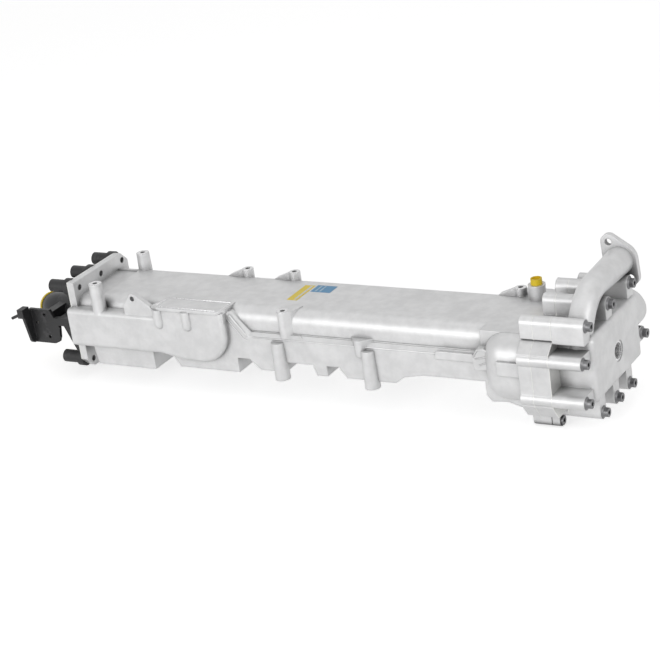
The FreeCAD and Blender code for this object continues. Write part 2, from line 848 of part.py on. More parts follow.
def housing_cavity(body):
    """The coolant space inside the shell and the chamber, open at both ends."""
    block(body, "cavity", (-1, -cavity_half, cavity_low), (inlet_joint - 20, cavity_half, cavity_top), cut=True)
    half = d("hollow_half_height")
    block(body, "chamber_cavity", (chamber_start + d("hollow_inset"), -d("hollow_front"), -half),
          (inlet_joint + 1, hollow_back, half), cut=True)
    lip = d("header_lip")
    block(body, "header_seat",
          (inlet_joint - d("header_thickness"), -d("hollow_front") - lip, -half - lip),
          (inlet_joint + 1, hollow_back + lip, half + lip), cut=True)


def housing_holes(body):
    """Blind tapped holes in the posts and through holes in the flanges."""
    hole = d("post_hole_radius")
    depth = d("post_hole_depth")
    tops = [
        ("end_front", d("end_post_x"), -d("end_post_front"), d("end_post_top")),
        ("end_back", d("end_post_x"), d("end_post_back"), d("end_post_top")),
        ("mid", d("mid_post_x"), shell_front, d("mid_post_top")),
    ]
    for number, x in enumerate(BACK_POSTS):
        tops.append((f"back_{number}", x, d("back_post_y"), d("back_post_top")))
    for name, x, y, top in tops:
        drum(body, f"{name}_hole", (x, y, top - depth * 0.6), "Z", hole, depth, cut=True)
    for name, x in (("mid", d("mid_column_x")), ("side", d("side_column_x"))):
        drum(body, f"{name}_column_hole", (x, -d("column_axis"), -d("column_low") - 1), "Z",
             hole, depth, cut=True)
    for number, (y, z) in enumerate(OUTLET_SCREWS):
        drum(body, f"outlet_tap_{number}", (-1, y, z), "X", d("tapped_radius"),
             d("outlet_flange_thickness") + 2, cut=True)
    for number, (y, z, side) in enumerate(LONG_BOLTS + [LOW_BOLT]):
        drum(body, f"inlet_tap_{number}", (inlet_joint - d("bolt_grip"), y, z), "X",
             d("tapped_radius"), d("bolt_grip") + 1, cut=True)
    drum(body, "stub_bore", (stub_x, d("stub_y"), cavity_top - 8), "Z",
         d("stub_bore"), d("stub_top") - cavity_top + 9, cut=True)


def make_housing():
    body = Piece("housing")
    housing_chamber(body)
    housing_shell(body)
    housing_apron(body)
    housing_knuckle(body)
    housing_channel(body)
    housing_skirts(body)
    flange(body, "inlet_flange", inlet_joint - d("inlet_flange_thickness"), d("inlet_flange_thickness"), LONG_BOLTS)
    low_lug(body, inlet_joint - d("low_lug_length"), d("low_lug_length"))
    housing_posts(body)
    housing_ports(body)
    housing_cavity(body)
    housing_holes(body)
    block(body, "valley", (d("outlet_flange_thickness"), shell_front - 1, d("core_top") - d("valley_drop")),
          (d("plate_start"), d("end_post_back") - d("end_post_radius") - 1, d("core_top") + 1), cut=True)
    return body.finish()


# Spacer and gaskets at the inlet end

def gas_window(body, start, length):
    """The opening for the gas through the inlet parts."""
    wall = d("box_wall")
    block(body, "window", (start - 1, -d("box_front") + wall, -d("box_low") + wall),
          (start + length + 1, d("box_back") - wall, d("box_top") - wall), cut=True)


def bolt_holes(body, start, length, bolts, name="bolt_hole"):
    """Clearance holes for the cover bolts."""
    for number, (y, z, side) in enumerate(bolts):
        drum(body, f"{name}_{number}", (start - 1, y, z), "X", d("tapped_radius"), length + 2, cut=True)


def make_inlet_plate(label, start, length, bolts):
    """A plate of the flange outline with the gas window and the bolt holes."""
    body = Piece(label)
    flange(body, "body", start, length, bolts)
    if label == "inlet_spacer":
        low_lug(body, start, d("low_lug_foot"))
    gas_window(body, start, length)
    bolt_holes(body, start, length, bolts)
    if label == "inlet_spacer":
        bolt_holes(body, start, length, [LOW_BOLT], "low_bolt_hole")
        drum(body, "low_recess", (low_seat, *LOW_BOLT[:2]), "X",
             d("recess_radius"), d("low_recess_depth") + 1, cut=True)
    return body.finish()


# Inlet cover with the cast pipe

def cover_body(body, name, start, depth, shrink, cut):
    """The drafted box of the cover, or its hollow where shrink is the wall."""
    low = (start, -d("box_front") + shrink, -d("box_low") + shrink)
    high = (start + depth, d("box_back") - shrink, d("box_top") - shrink)
    return block(body, name, low, high, cut)


def make_cover():
    body = Piece("inlet_cover")
    start = cover_start
    cover_body(body.form(), "box", start, d("cover_depth"), as_size(0), False)
    soften(body, "box_edges", d("box_edge"), lambda middle, ends: middle.x > start.value + 1)
    radius = d("lug_radius")
    inner = {"top": d("box_top") - 4, "low": -d("box_low") + 4,
             "front": -d("box_front") + 4, "back": d("box_back") - 4}
    for number, bolt in enumerate(COVER_BOLTS):
        lug(body, f"pillar_{number}", start, d("pillar_length"), bolt, radius, inner[bolt[2]])
    lug_foot = d("box_back") - 6
    drum(body, "back_lug", (cover_end - d("back_lug_radius"), lug_foot, d("back_lug_z")), "Y",
         d("back_lug_radius"), d("back_lug_y") - lug_foot)
    cover_pipe(body)
    block(body, "back_lug_trim", (start - 9, lug_foot - 1, d("back_lug_z") - d("back_lug_radius") - 1),
          (start, d("back_lug_y") + 1, d("back_lug_z") + d("back_lug_radius") + 1), cut=True)
    cover_body(body, "hollow", start - 1, d("cover_depth") - d("box_wall") + 1, d("box_wall"), True)
    drum(body, "port_boss", (cover_end - d("port_depth") - 1, d("port_y"), d("port_z")), "X",
         d("port_boss_radius"), d("port_depth"))
    drum(body, "port", (cover_end - d("port_depth") - 4, d("port_y"), d("port_z")), "X",
         d("port_radius"), d("port_depth") + 5, cut=True)
    drum(body, "port_seat", (port_seat, d("port_y"), d("port_z")), "X",
         d("port_seat_radius"), d("port_seat_depth") + 1, cut=True)
    bolt_holes(body, start, d("pillar_length"), COVER_BOLTS)
    pipe_bore(body)
    pipe_bolts(body)
    return body.finish()


def pipe_bend(body, name, radius, cut=False):
    """A quarter ring from inside the cover's roof up and back to the straight run of the pipe."""
    foot = (pipe_x, d("pipe_bend_y") - d("pipe_bend"), d("pipe_height") - d("pipe_bend"))
    bent_bar(body, name, foot, (V(0, 0, 1), V(0, 1, 0)), radius, d("pipe_bend"), 90, cut)


def pipe_bore(body):
    """The gas way through the pipe, from the hollow of the cover to the flange."""
    pipe_bend(body, "pipe_bore_bend", d("pipe_bore"), cut=True)
    drum(body, "pipe_bore_run", (pipe_x, d("pipe_bend_y"), d("pipe_height")), "Y",
         d("pipe_bore"), d("pipe_flange_face") - d("pipe_bend_y") + 1, cut=True)


EAR_LEAN = math.radians(30)


def pipe_ears():
    """Places of the two bolt holes of the pipe flange, in X and Z."""
    reach_x = d("pipe_bolt_circle") * (0.5 * math.sin(EAR_LEAN))
    reach_z = d("pipe_bolt_circle") * (0.5 * math.cos(EAR_LEAN))
    return [(pipe_x - reach_x, d("pipe_height") + reach_z),
            (pipe_x + reach_x, d("pipe_height") - reach_z)]


def cover_pipe(body):
    """The cast pipe and its oval flange."""
    pipe_bend(body, "pipe_bend", d("pipe_radius"))
    taper(body, "pipe_run", (pipe_x, d("pipe_bend_y"), d("pipe_height")), "Y",
          d("pipe_radius"), d("pipe_end_radius"), d("pipe_flange_face") - d("pipe_bend_y") - 2)
    back = d("pipe_flange_face")
    thick = d("pipe_flange_thickness")
    front = back - thick
    drum(body, "pipe_flange", (pipe_x, front, d("pipe_height")), "Y", d("pipe_flange_radius"), thick)
    along = V(-math.sin(EAR_LEAN), 0, math.cos(EAR_LEAN))
    for number, (x, z) in enumerate(pipe_ears()):
        drum(body, f"pipe_ear_{number}", (x, front, z), "Y", d("pipe_ear_radius"), thick)
    big = d("pipe_flange_radius")
    small = d("pipe_ear_radius")
    half = d("pipe_bolt_circle") / 2
    lean = math.asin((big.value - small.value) / half.value)
    corners = []
    for sign_along, sign_side in ((1, 1), (1, -1), (-1, -1), (-1, 1)):
        pair = []
        for reach, radius in ((0, big), (half, small)):
            off_along = as_size(reach) * sign_along + radius * (math.sin(lean) * sign_along)
            off_side = radius * (math.cos(lean) * sign_side)
            x = pipe_x + off_along * along.x + off_side * along.z
            z = d("pipe_height") + off_along * along.z - off_side * along.x
            pair.append((x, z))
        corners.extend(pair if sign_along * sign_side > 0 else reversed(pair))
    slab(body, "pipe_flange_web", "XZ_Plane", back, corners, thick)


def pipe_bolts(body):
    """The two bolt holes of the pipe flange."""
    for number, (x, z) in enumerate(pipe_ears()):
        drum(body, f"pipe_bolt_hole_{number}", (x, d("pipe_flange_face") - d("pipe_flange_thickness") - 1, z), "Y",
             d("pipe_bolt_radius"), d("pipe_flange_thickness") + 2, cut=True)


# Screws

def flange_bolt(body, name, seat_x, y, z, shank):
    """A flanged bolt head with its socket, looking along +X, and the shank behind it."""
    head = d("bolt_head_height")
    taper(body, f"{name}_washer", (seat_x, y, z), "X",
          d("bolt_washer_radius"), d("bolt_head_radius"), d("bolt_washer_height"))
    drum(body, f"{name}_head", (seat_x, y, z), "X", d("bolt_head_radius"), head)
    drum(body, f"{name}_shank", (seat_x - shank, y, z), "X", d("screw_radius"), shank)
    drum(body, f"{name}_socket", (seat_x + head - d("bolt_socket_depth"), y, z), "X",
         d("bolt_socket_radius"), d("bolt_socket_depth") + 1, cut=True)


def make_bolt(label, seat_x, y, z, shank):
    body = Piece(label)
    flange_bolt(body, "bolt", seat_x, y, z, shank)
    return body.finish()


def make_cap_screw(label, seat_x, y, z, shank, direction):
    """A screw with a plain round head that lies in a recess; the head looks along +X or -X."""
    body = Piece(label)
    head = d("bolt_head_height")
    deep = d("bolt_socket_depth")
    if direction > 0:
        head_start, shank_start, socket_start = seat_x, seat_x - shank, seat_x + head - deep
    else:
        head_start, shank_start, socket_start = seat_x - head, seat_x, seat_x - head - 1
    drum(body, "head", (head_start, y, z), "X", d("bolt_head_radius"), head)
    drum(body, "shank", (shank_start, y, z), "X", d("screw_radius"), shank)
    drum(body, "socket", (socket_start, y, z), "X", d("bolt_socket_radius"), deep + 1, cut=True)
    return body.finish()


# Black outlet casting with its bracket, and the yellow cap

NECK_TURN = 45.0
NECK_TILT = 26.0
NECK_AHEAD = V(-1, 0, 0)
NECK_INWARD = V(0, math.cos(math.radians(NECK_TILT)), -math.sin(math.radians(NECK_TILT)))
NECK_OUT = (NECK_AHEAD * math.cos(math.radians(NECK_TURN))
            + NECK_INWARD * math.sin(math.radians(NECK_TURN)))


def beyond(point, direction, length):
    """The point a length further along a direction."""
    return [as_size(at) + as_size(length) * part for at, part in zip(point, direction)]


def neck_places():
    """Where the neck of the outlet starts to bend, where the bend ends, and its mouth."""
    first = [-d("neck_bend_start"), d("neck_y"), d("neck_z")]
    turn = math.radians(NECK_TURN)
    last = beyond(beyond(first, NECK_AHEAD * math.sin(turn), d("neck_bend")),
                  NECK_INWARD * (1 - math.cos(turn)), d("neck_bend"))
    return first, last, beyond(last, NECK_OUT, d("neck_length"))


def outlet_neck(body, name, shrink, cut):
    """The bent neck of the outlet, or its bore where shrink is the wall."""
    first, last, mouth = neck_places()
    radius = d("neck_radius") - shrink
    bent_bar(body, f"{name}_bend", first, (NECK_AHEAD, NECK_INWARD), radius, d("neck_bend"), NECK_TURN, cut)
    extra = 1 if cut else 0
    lean(drum(body, f"{name}_end", last, "X", radius, d("neck_length") + extra, cut), last, NECK_OUT)


def outlet_bracket(body, face):
    """The bracket plate in front of the neck, with its side wing, arm, web and clip."""
    front = -d("bracket_y")
    left = -d("bracket_left")
    right = -d("bracket_right")
    low = -d("bracket_low")
    top = d("bracket_top")
    corner = d("bracket_round")
    slab(body, "bracket", "XZ_Plane", front + d("bracket_thickness"), [
        (left + 3, low), (right - 10, low), (right - 3, low + 3), (right, low + 10),
        (right + 2, -6), (right - 11, top), (left, top), (left, low + 4),
    ], d("bracket_thickness"))
    wing = body.extra("wing")
    slab(wing, "wing", "YZ_Plane", left, [
        (front + 1, low + 1), (front - d("bracket_wing_low"), low + 1),
        (front - d("bracket_wing_top"), top), (front + 1, top),
    ], d("bracket_wing_wall"))
    soften(wing, "wing_round", corner, lambda middle, ends:
           near(middle.z, low + 1) and near(middle.y, front - d("bracket_wing_low")))
    block(body, "arm", (right - 6, front, -3), (face - 1, front + 9, -3 + d("arm_height")))
    slab(body, "web", "XZ_Plane", front + 8, [
        (as_size(-25), as_size(0)), (face - 1, as_size(0)), (face - 1, as_size(-42)), (as_size(-8), as_size(-38)),
    ], as_size(7))
    block(body, "strut", (right - 22, front + 2, 2), (right - 9, d("neck_y"), top - 4))
    block(body, "clip", (left - 6, front - d("bracket_wing_top"), top - 8), (left + 4, front - 4, top + 5))
    reach = d("clip_pin_reach") - d("bracket_left")
    base = (left, front - d("bracket_wing_top") / 2, top - 2)
    lean(drum(body, "clip_pin", base, "X", d("clip_pin_radius"), reach), base, V(-0.92, 0, -0.4))


def make_outlet():
    body = Piece("outlet_casting")
    face = -d("outlet_gasket_thickness")
    half = d("outlet_flange_half") - 9
    cut = d("outlet_corner_cut")
    plate = d("outlet_plate_thickness")
    reach = d("outlet_boss_reach")
    slab(body, "plate", "YZ_Plane", face - plate, [
        (-half + cut, -half), (half - cut, -half), (half, -half + cut), (half, half - cut),
        (half - cut, half), (-half, half), (-half, -half + cut),
    ], plate)
    for number, (y, z) in enumerate(OUTLET_SCREWS):
        drum(body, f"foot_{number}", (face - plate, y, z), "X", d("outlet_boss_radius") + 3, plate)
        drum(body, f"boss_{number}", (-reach, y, z), "X", d("outlet_boss_radius"), reach + face)
    flare_end = face - plate - d("flare_length")
    axis = (d("neck_y"), d("neck_z"))
    taper(body, "flare", (flare_end, *axis), "X", d("flare_waist"), d("flare_radius"), d("flare_length") + 1)
    taper(body, "waist", (-d("neck_bend_start"), *axis), "X", d("neck_radius"), d("flare_waist"),
          flare_end + d("neck_bend_start"))
    outlet_neck(body, "neck", as_size(0), False)
    outlet_bracket(body, face)
    wall = d("neck_radius") - d("neck_bore")
    taper(body, "flare_hollow", (flare_end, *axis), "X",
          d("neck_bore"), d("flare_radius") - 6, face - flare_end + 0.5, cut=True)
    drum(body, "neck_bore", (-d("neck_bend_start"), *axis), "X",
         d("neck_bore"), d("neck_bend_start") + flare_end + 1, cut=True)
    outlet_neck(body, "neck_way", wall, True)
    for number, (y, z) in enumerate(OUTLET_SCREWS):
        drum(body, f"boss_hole_{number}", (-reach - 1, y, z), "X", d("tapped_radius"), reach + 2, cut=True)
        drum(body, f"boss_recess_{number}", (-reach - 1, y, z), "X",
             d("recess_radius"), d("recess_depth") + 1, cut=True)
    front = -d("bracket_y")
    for name, x, z in (("upper", -54, 12), ("lower", -51, -21), ("middle", -70, -1)):
        drum(body, f"bracket_hole_{name}", (x, front - 1, z), "Y",
             d("bracket_hole_radius"), d("bracket_thickness") + 3, cut=True)
    return body.finish()


def make_outlet_gasket():
    body = Piece("outlet_gasket")
    face = -d("outlet_gasket_thickness")
    half = d("outlet_flange_half")
    cut = d("outlet_corner_cut")
    slab(body, "sheet", "YZ_Plane", face, [
        (-half + cut, -half), (half - cut, -half), (half, -half + cut), (half, half - cut),
        (half - cut, half), (-half, half), (-half, -half + cut),
    ], d("outlet_gasket_thickness"))
    drum(body, "opening", (face - 1, d("neck_y"), d("neck_z")), "X", d("flare_radius") - 6,
         d("outlet_gasket_thickness") + 2, cut=True)
    for number, (y, z) in enumerate(OUTLET_SCREWS):
        drum(body, f"hole_{number}", (face - 1, y, z), "X", d("tapped_radius"),
             d("outlet_gasket_thickness") + 2, cut=True)
    return body.finish()


def make_cap():
    body = Piece("outlet_cap")
    mouth = neck_places()[2]
    base = beyond(mouth, NECK_OUT, d("cap_wall"))
    inner = d("neck_radius") + d("clearance")
    lean(drum(body, "cup", base, "X", inner + d("cap_wall"), d("cap_length") + d("cap_wall")), base, -NECK_OUT)
    lean(drum(body, "hollow", mouth, "X", inner, d("cap_length") + 1, cut=True), mouth, -NECK_OUT)
    return body.finish()


# Heat exchanger core

def tube_places():
    """Middle of each flat tube, in Y and Z."""
    places = []
    for column in range(TUBE_COLUMNS):
        for line in range(TUBE_ROWS):
            y = d("tube_pitch_y") * (column - (TUBE_COLUMNS - 1) / 2)
            z = bundle_middle + d("tube_pitch_z") * (line - (TUBE_ROWS - 1) / 2)
            places.append((y, z))
    return places


def flat_bar(body, name, start, length, y, z, shrink, cut=False):
    """A straight bar of flat section, less shrink on every side."""
    half_width = d("tube_width") / 2 - shrink
    half_height = d("tube_height") / 2 - shrink
    block(body, name, (start, y - half_width, z - half_height), (start + length, y + half_width, z + half_height), cut)


def make_tube(label, y, z):
    start = d("outlet_header_inset") - 1
    length = inlet_joint - start
    body = Piece(label)
    flat_bar(body, "tube", start, length, y, z, as_size(0))
    doc.recompute()
    flat_bar(body, "bore", start - 1, length + 2, y, z, d("tube_wall"), cut=True)
    return body.finish()


def tube_slots(body, start, length):
    for number, (y, z) in enumerate(tube_places()):
        flat_bar(body, f"slot_{number}", start - 1, length + 2, y, z, -d("clearance") / 3, cut=True)


def make_inlet_header():
    body = Piece("inlet_header")
    rim = d("header_lip") - d("clearance")
    half = d("hollow_half_height")
    start = inlet_joint - d("header_thickness")
    block(body, "plate", (start, -d("hollow_front") - rim, -half - rim), (inlet_joint, hollow_back + rim, half + rim))
    tube_slots(body, start, d("header_thickness"))
    return body.finish()


def make_outlet_header():
    body = Piece("outlet_header")
    gap = d("clearance")
    start = d("outlet_header_inset")
    thick = d("outlet_header_thickness")
    block(body, "plate", (start, -cavity_half + gap, cavity_low + gap), (start + thick, cavity_half - gap, cavity_top - gap))
    middle = start + thick / 2
    half = d("seal_width") / 2
    deep = d("seal_depth")
    block(body, "groove_block", (middle - half, -cavity_half, cavity_low), (middle + half, cavity_half, cavity_top), cut=True)
    block(body, "groove_core", (middle - half - 1, -cavity_half + gap + deep, cavity_low + gap + deep),
          (middle + half + 1, cavity_half - gap - deep, cavity_top - gap - deep))
    tube_slots(body, start, thick)
    return body.finish()


def make_outlet_seal():
    body = Piece("outlet_seal")
    gap = d("clearance")
    middle = d("outlet_header_inset") + d("outlet_header_thickness") / 2
    half = d("seal_width") / 2 - gap / 3
    deep = d("seal_depth") + gap
    block(body, "ring", (middle - half, -cavity_half, cavity_low), (middle + half, cavity_half, cavity_top))
    block(body, "hole", (middle - half - 1, -cavity_half + deep, cavity_low + deep),
          (middle + half + 1, cavity_half - deep, cavity_top - deep), cut=True)
    return body.finish()


def make_baffle(number):
    body = Piece(f"baffle_{number + 1}")
    gap = d("clearance")
    start = d("housing_length") * ((number + 1.0) / (BAFFLES + 1)) - 10
    thick = d("baffle_thickness")
    window = (cavity_top - cavity_low) * 0.25
    low = cavity_low + gap + (window if number % 2 else as_size(0))
    high = cavity_top - gap - (as_size(0) if number % 2 else window)
    block(body, "plate", (start, -cavity_half + gap, low), (start + thick, cavity_half - gap, high))
    tube_slots(body, start, thick)
    return body.finish()


# Labels and plug

def make_label(label, x, y, length_x, length_y):
    body = Piece(label)
    block(body.form(), "sheet", (x, y, d("core_top")), (x + length_x, y + length_y, d("core_top") + d("label_thickness")))
    return body.finish()


def make_plug():
    body = Piece("coolant_plug")
    head = d("plug_head_height")
    drum(body, "head", (stub_x, d("stub_y"), d("stub_top")), "Z", d("plug_head_radius"), head)
    drum(body, "stem", (stub_x, d("stub_y"), d("stub_top") - 12), "Z",
         d("stub_bore") - d("clearance"), as_size(12.5))
    drum(body, "dimple", (stub_x, d("stub_y"), d("stub_top") + head - 3), "Z",
         d("plug_head_radius") - 1.8, as_size(4), cut=True)
    return body.finish()


# Building every piece

pieces = [make_housing(), make_outlet(), make_outlet_gasket(), make_cap()]
pieces.append(make_inlet_plate("housing_gasket", inlet_joint, d("inlet_gasket_thickness"), LONG_BOLTS))
pieces.append(make_inlet_plate("inlet_spacer", spacer_start, d("spacer_thickness"), COVER_BOLTS))
pieces.append(make_inlet_plate("cover_gasket", spacer_end, d("inlet_gasket_thickness"), COVER_BOLTS))
pieces.append(make_cover())
for index, (bolt_y, bolt_z, bolt_side) in enumerate(COVER_BOLTS):
    foot = spacer_start + 2 if index == SHORT_BOLT else inlet_joint - d("bolt_grip") + 1
    pieces.append(make_bolt(f"cover_bolt_{index + 1}", pillar_end, bolt_y, bolt_z, pillar_end - foot))
pieces.append(make_cap_screw("spacer_bolt", low_seat, *LOW_BOLT[:2], low_seat - inlet_joint + d("bolt_grip") - 1, 1))
screw_seat = d("recess_depth") - d("outlet_boss_reach")
for index, (screw_y, screw_z) in enumerate(OUTLET_SCREWS, start=1):
    pieces.append(make_cap_screw(f"outlet_screw_{index}", screw_seat, screw_y, screw_z, 7 - screw_seat, -1))
pieces.append(make_inlet_header())
pieces.append(make_outlet_header())
pieces.append(make_outlet_seal())
for index in range(BAFFLES):
    pieces.append(make_baffle(index))
for index, (tube_y, tube_z) in enumerate(tube_places(), start=1):
    pieces.append(make_tube(f"gas_tube_{index}", tube_y, tube_z))
pieces.append(make_label("yellow_label", d("yellow_label_x"), d("yellow_label_y"),
                         d("yellow_label_width"), d("yellow_label_length")))
pieces.append(make_label("blue_label", d("blue_label_x"), d("blue_label_y"),
                         d("blue_label_length"), d("blue_label_width")))
pieces.append(make_plug())
doc.recompute()

# Checks and export

failed = [item.Name for item in doc.Objects if {"Invalid", "Error"} & set(item.State)]
if failed:
    raise RuntimeError("objects that failed: " + ", ".join(failed))
os.makedirs("parts", exist_ok=True)
for piece in pieces:
    if piece.Shape.isNull() or not piece.Shape.isValid():
        raise RuntimeError("bad shape: " + piece.Label)
    piece.Shape.exportStep(f"parts/{piece.Label}.step")
    solids = len(piece.Shape.Solids)
    print(piece.Label, solids, round(piece.Shape.Volume), [round(value, 1) for value in (
        piece.Shape.BoundBox.XMin, piece.Shape.BoundBox.XMax, piece.Shape.BoundBox.YMin,
        piece.Shape.BoundBox.YMax, piece.Shape.BoundBox.ZMin, piece.Shape.BoundBox.ZMax)])
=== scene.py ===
import json
import math

import bpy
import numpy as np
from mathutils import Matrix, Vector


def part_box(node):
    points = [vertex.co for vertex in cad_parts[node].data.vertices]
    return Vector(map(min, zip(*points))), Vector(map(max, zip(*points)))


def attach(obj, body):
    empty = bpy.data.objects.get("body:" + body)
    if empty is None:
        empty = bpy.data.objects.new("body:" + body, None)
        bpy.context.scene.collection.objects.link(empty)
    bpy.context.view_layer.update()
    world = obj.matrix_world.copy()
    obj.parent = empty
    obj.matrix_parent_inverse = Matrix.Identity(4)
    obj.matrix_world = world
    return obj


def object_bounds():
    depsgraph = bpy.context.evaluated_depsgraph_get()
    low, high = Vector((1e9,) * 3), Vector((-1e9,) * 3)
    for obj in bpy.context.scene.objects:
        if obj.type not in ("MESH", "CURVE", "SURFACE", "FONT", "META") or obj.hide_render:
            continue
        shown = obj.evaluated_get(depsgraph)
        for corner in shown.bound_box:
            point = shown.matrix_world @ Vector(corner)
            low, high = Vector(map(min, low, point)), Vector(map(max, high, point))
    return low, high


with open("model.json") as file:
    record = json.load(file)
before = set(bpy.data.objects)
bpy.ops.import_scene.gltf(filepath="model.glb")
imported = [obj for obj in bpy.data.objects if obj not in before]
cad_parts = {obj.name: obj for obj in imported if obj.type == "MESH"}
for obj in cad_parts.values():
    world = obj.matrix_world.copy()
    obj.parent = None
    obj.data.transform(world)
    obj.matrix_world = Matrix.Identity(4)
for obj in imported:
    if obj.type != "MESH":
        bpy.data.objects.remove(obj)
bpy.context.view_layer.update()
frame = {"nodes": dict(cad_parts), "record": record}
NODES = frame["nodes"]

# The middle of the outlet joint, from which every detail is measured in millimetres:
# X runs towards the inlet cover, Y to the back, Z up
JOINT_LOW, JOINT_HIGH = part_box("outlet_gasket")
JOINT = np.array([JOINT_HIGH[0], (JOINT_LOW[1] + JOINT_HIGH[1]) / 2, (JOINT_LOW[2] + JOINT_HIGH[2]) / 2])
MM = 0.001


def at(x, y, z):
    """A place measured from the outlet joint in millimetres, in the frame's metres."""
    return JOINT + MM * np.array([x, y, z])


# Shader expressions

class Wire:
    """One output socket of a material's tree, with arithmetic that adds the Math nodes."""

    def __init__(self, tree, socket):
        self.tree = tree
        self.socket = socket

    def _math(self, operation, first, second):
        return self.node("ShaderNodeMath", {"operation": operation}, {0: first, 1: second})

    def node(self, kind, settings=None, inputs=None, output=0):
        """Any node: its settings first, then the values or links of its sockets."""
        made = self.tree.nodes.new(kind)
        for name, value in (settings or {}).items():
            if name == "stops":
                ramp = made.color_ramp
                while len(ramp.elements) < len(value):
                    ramp.elements.new(0.5)
                for element, (place, colour) in zip(ramp.elements, value):
                    element.position = place
                    element.color = (*colour, 1.0)
            else:
                setattr(made, name, value)
        for name, value in (inputs or {}).items():
            if isinstance(value, Wire):
                self.tree.links.new(value.socket, made.inputs[name])
            else:
                made.inputs[name].default_value = value
        return Wire(self.tree, made.outputs[output])

    def __add__(self, other):
        return self._math("ADD", self, other)

    __radd__ = __add__

    def __mul__(self, other):
        return self._math("MULTIPLY", self, other)

    __rmul__ = __mul__

    def __pow__(self, other):
        return self._math("POWER", self, other)

    def larger(self, other):
        """The larger of two values."""
        return self._math("MAXIMUM", self, other)

    def above(self, edge, width):
        """0 below the edge, 1 above it, with a soft step of that width."""
        return self.node("ShaderNodeMapRange", {"interpolation_type": "SMOOTHSTEP"}, {
            "Value": self, "From Min": edge - width / 2, "From Max": edge + width / 2,
            "To Min": 0.0, "To Max": 1.0})

    def noise(self, scale, detail=3.0, roughness=0.5):
        """Smooth noise read at this point."""
        return self.node("ShaderNodeTexNoise", {}, {
            "Vector": self, "Scale": scale, "Detail": detail, "Roughness": roughness})

    def crevice(self, reach):
        """How open the surface is: 1 in the open, less in corners closer than that reach; it drives the
        painted shade in corners.
        """
        return self.node("ShaderNodeAmbientOcclusion", {"samples": 6}, {"Distance": reach}, 1)

    def mix(self, first, second):
        """A colour between two, with this as the share of the second."""
        made = self.tree.nodes.new("ShaderNodeMix")
        made.data_type = "RGBA"
        self.tree.links.new(self.socket, made.inputs["Factor"])
        for slot, value in ((6, first), (7, second)):
            if isinstance(value, Wire):
                self.tree.links.new(value.socket, made.inputs[slot])
            else:
                made.inputs[slot].default_value = (*value, 1.0)
        return Wire(self.tree, made.outputs[2])


class Finish:
    """A material in the making, with its shader and its object coordinates."""

    def __init__(self, name, **fixed):
        self.material = bpy.data.materials.new(name)
        self.material.use_nodes = True
        self.tree = self.material.node_tree
        self.shader = self.tree.nodes["Principled BSDF"]
        for socket, value in fixed.items():
            self.shader.inputs[socket.title()].default_value = value
        coordinates = self.tree.nodes.new("ShaderNodeTexCoord")
        self.place = Wire(self.tree, coordinates.outputs["Object"])

    def drive(self, socket, wire):
        """Feed a shader socket."""
        self.tree.links.new(wire.socket, self.shader.inputs[socket])

    def bump(self, height, distance, strength=1.0, round_edges=0.0):
        """Raise the surface by a height, over edges that look rounded to that radius."""
        inputs = {"Height": height, "Distance": distance, "Strength": strength}
        if round_edges:
            inputs["Normal"] = height.node("ShaderNodeBevel", {"samples": 6}, {"Radius": round_edges})
        self.drive("Normal", height.node("ShaderNodeBump", {}, inputs))


def cast_aluminium(name, base, grain=1.0, edge=0.0018):
    """Sand-cast aluminium: pale and slightly mottled, with painted shade darkening the corners, a fine grain
    and soft edges.
    """
    finish = Finish(name, metallic=0.45)
    place = finish.place
    cloud = place.noise(22.0, 4.0, 0.6)
    speck = place.noise(900.0, 2.0, 0.6)
    blotch = place.noise(75.0, 3.0, 0.55)
    tone = (cloud * 0.5 + blotch * 0.5).above(0.5, 0.35)
    light = tuple(min(1.0, c * 1.04) for c in base)
    dark = tuple(c * 0.90 for c in base)
    # Painted shade: a near-black copy of the base colour, laid into corners and creases where the ambient
    # occlusion below finds them close
    painted_corner_shade = tuple(c * 0.16 for c in base)
    unshaded_share = (place.crevice(0.020) ** 1.4).above(0.42, 0.8)
    finish.drive("Base Color", unshaded_share.mix(painted_corner_shade, tone.mix(dark, light)))
    finish.drive("Roughness", 0.36 + 0.14 * blotch)
    finish.bump(speck * 0.7 + place.noise(260.0, 3.0, 0.6) * 0.6, 0.00025 * grain, 0.5, edge)
    return finish.material


def black_paint(name):
    """Satin black paint over a rough casting."""
    finish = Finish(name, metallic=0.0)
    place = finish.place
    worn = place.noise(60.0, 4.0, 0.6).above(0.62, 0.12)
    finish.drive("Base Color", worn.mix((0.012, 0.012, 0.013), (0.035, 0.034, 0.036)))
    finish.drive("Roughness", 0.42 + 0.12 * place.noise(90.0))
    finish.bump(place.noise(420.0, 3.0, 0.6), 0.0004, 0.5, 0.0012)
    return finish.material


def dark_steel(name):
    """Screws with dark plating."""
    finish = Finish(name, metallic=0.85)
    place = finish.place
    tone = place.noise(120.0, 3.0, 0.6)
    finish.drive("Base Color", tone.mix((0.10, 0.10, 0.105), (0.26, 0.26, 0.265)))
    finish.drive("Roughness", 0.30 + 0.15 * place.noise(300.0))
    finish.bump(place.noise(700.0), 0.0001, 0.4, 0.0006)
    return finish.material


def sheet_steel(name, base=(0.80, 0.80, 0.78)):
    """Bright rolled sheet."""
    finish = Finish(name, metallic=0.8)
    place = finish.place
    finish.drive("Base Color", place.noise(150.0).mix(tuple(c * 0.85 for c in base), base))
    finish.drive("Roughness", 0.32 + 0.15 * place.noise(220.0))
    finish.bump(place.noise(900.0), 0.00005, 0.3)
    return finish.material


def plain_plastic(name, base):
    """Moulded plastic with a faint grain."""
    finish = Finish(name, metallic=0.0)
    place = finish.place
    finish.drive("Base Color", place.noise(60.0).mix(tuple(c * 0.9 for c in base), base))
    finish.drive("Roughness", 0.38 + 0.12 * place.noise(140.0))
    finish.bump(place.noise(500.0), 0.00008, 0.4, 0.0005)
    return finish.material


